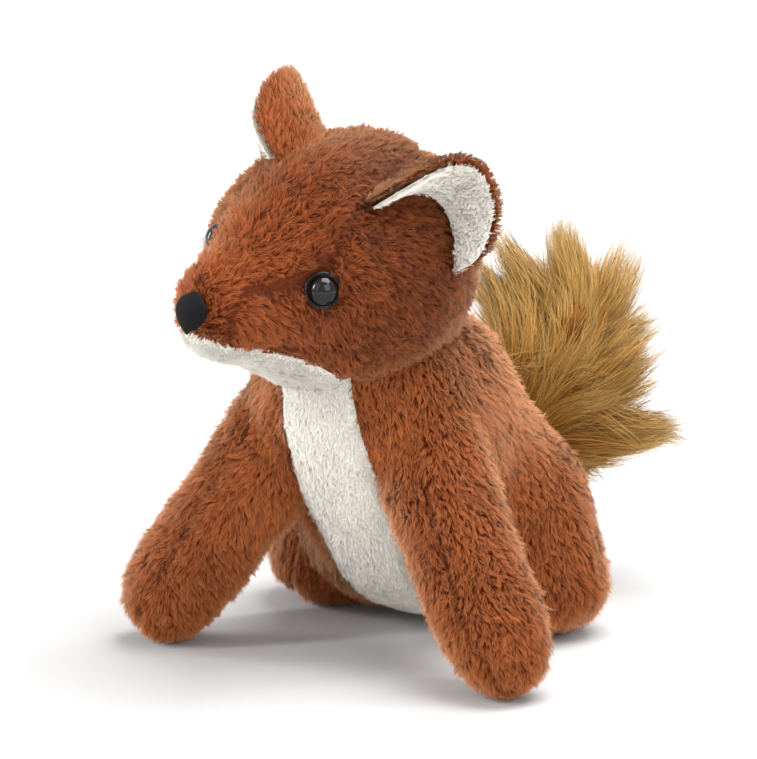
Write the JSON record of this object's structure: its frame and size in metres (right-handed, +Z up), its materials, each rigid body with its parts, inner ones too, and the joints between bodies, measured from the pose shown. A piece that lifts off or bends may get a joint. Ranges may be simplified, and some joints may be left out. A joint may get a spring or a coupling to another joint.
{
  "type": "plush fox",
  "caption": "Small sitting plush fox with short brown pile, pale belly, chin and ear linings, glossy bead eyes, stitched nose and a golden brush tail.",
  "frame": {"origin": "on the floor, in the middle of the flat patch under the rump", "axes": "+Z up, the fox looks along -Y, its own left side is +X"},
  "size_m": [0.092, 0.1285, 0.1135],
  "materials": {
    "rust_plush": "short brushed pile",
    "cream_plush": "short brushed pile",
    "gold_pile": "long brushed pile",
    "black_thread": "satin stitches",
    "black_gloss": "polished",
    "washer_plastic": "moulded",
    "stuffing_fibre": "loose fibre"
  },
  "bodies": {
    "torso": {"belly_panel": "cream_plush", "back_panel_left": "rust_plush", "back_panel_right": "rust_plush", "torso_stuffing": "stuffing_fibre"},
    "front_leg_left": {"front_leg_left_outer_panel": "rust_plush", "front_leg_left_inner_panel": "rust_plush", "front_leg_left_stuffing": "stuffing_fibre"},
    "front_leg_right": {"front_leg_right_outer_panel": "rust_plush", "front_leg_right_inner_panel": "rust_plush", "front_leg_right_stuffing": "stuffing_fibre"},
    "hind_leg_left": {"hind_leg_left_outer_panel": "rust_plush", "hind_leg_left_inner_panel": "rust_plush", "hind_leg_left_stuffing": "stuffing_fibre"},
    "hind_leg_right": {"hind_leg_right_outer_panel": "rust_plush", "hind_leg_right_inner_panel": "rust_plush", "hind_leg_right_stuffing": "stuffing_fibre"},
    "tail": {"tail_brush": "gold_pile", "tail_core": "stuffing_fibre"},
    "head": {"face_panel": "rust_plush", "cheek_panel_left": "rust_plush", "cheek_panel_right": "rust_plush", "chin_panel": "cream_plush", "head_stuffing": "stuffing_fibre", "nose_embroidery": "black_thread", "eye_left": "black_gloss", "eye_washer_left": "washer_plastic", "eye_right": "black_gloss", "eye_washer_right": "washer_plastic"},
    "ear_left": {"ear_outer_left": "rust_plush", "ear_lining_left": "cream_plush"},
    "ear_right": {"ear_outer_right": "rust_plush", "ear_lining_right": "cream_plush"}
  },
  "joints": [
    {"name": "neck_turn", "type": "hinge", "parent": "torso", "child": "head", "pos_m": [0, -0.04, 0.078], "axis": [0, -0.1736, 0.9848], "range_deg": [-18, 18], "stiffness_Nm_per_rad": 0.5},
    {"name": "ear_fold_left", "type": "hinge", "parent": "head", "child": "ear_left", "pos_m": [0.01734, -0.04447, 0.09441], "axis": [-0.5734, -0.7182, 0.3943], "range_deg": [-10, 10], "stiffness_Nm_per_rad": 0.02},
    {"name": "ear_fold_right", "type": "hinge", "parent": "head", "child": "ear_right", "pos_m": [-0.00813, -0.03917, 0.10086], "axis": [-0.3727, 0.915, -0.1543], "range_deg": [-10, 10], "stiffness_Nm_per_rad": 0.02},
    {"name": "front_leg_swing_left", "type": "hinge", "parent": "torso", "child": "front_leg_left", "pos_m": [0.015, -0.038, 0.05], "axis": [1, 0, 0], "range_deg": [-9, 9], "stiffness_Nm_per_rad": 0.3},
    {"name": "front_leg_swing_right", "type": "hinge", "parent": "torso", "child": "front_leg_right", "pos_m": [-0.015, -0.038, 0.05], "axis": [1, 0, 0], "range_deg": [-9, 9], "stiffness_Nm_per_rad": 0.3},
    {"name": "hind_leg_swing_left", "type": "hinge", "parent": "torso", "child": "hind_leg_left", "pos_m": [0.016, -0.002, 0.035], "axis": [1, 0, 0], "range_deg": [-9, 9], "stiffness_Nm_per_rad": 0.3},
    {"name": "hind_leg_swing_right", "type": "hinge", "parent": "torso", "child": "hind_leg_right", "pos_m": [-0.016, -0.002, 0.035], "axis": [1, 0, 0], "range_deg": [-9, 9], "stiffness_Nm_per_rad": 0.3},
    {"name": "tail_swing", "type": "hinge", "parent": "torso", "child": "tail", "pos_m": [0.002, 0.01, 0.025], "axis": [1, 0, 0], "range_deg": [-12, 12], "stiffness_Nm_per_rad": 0.05}
  ]
}
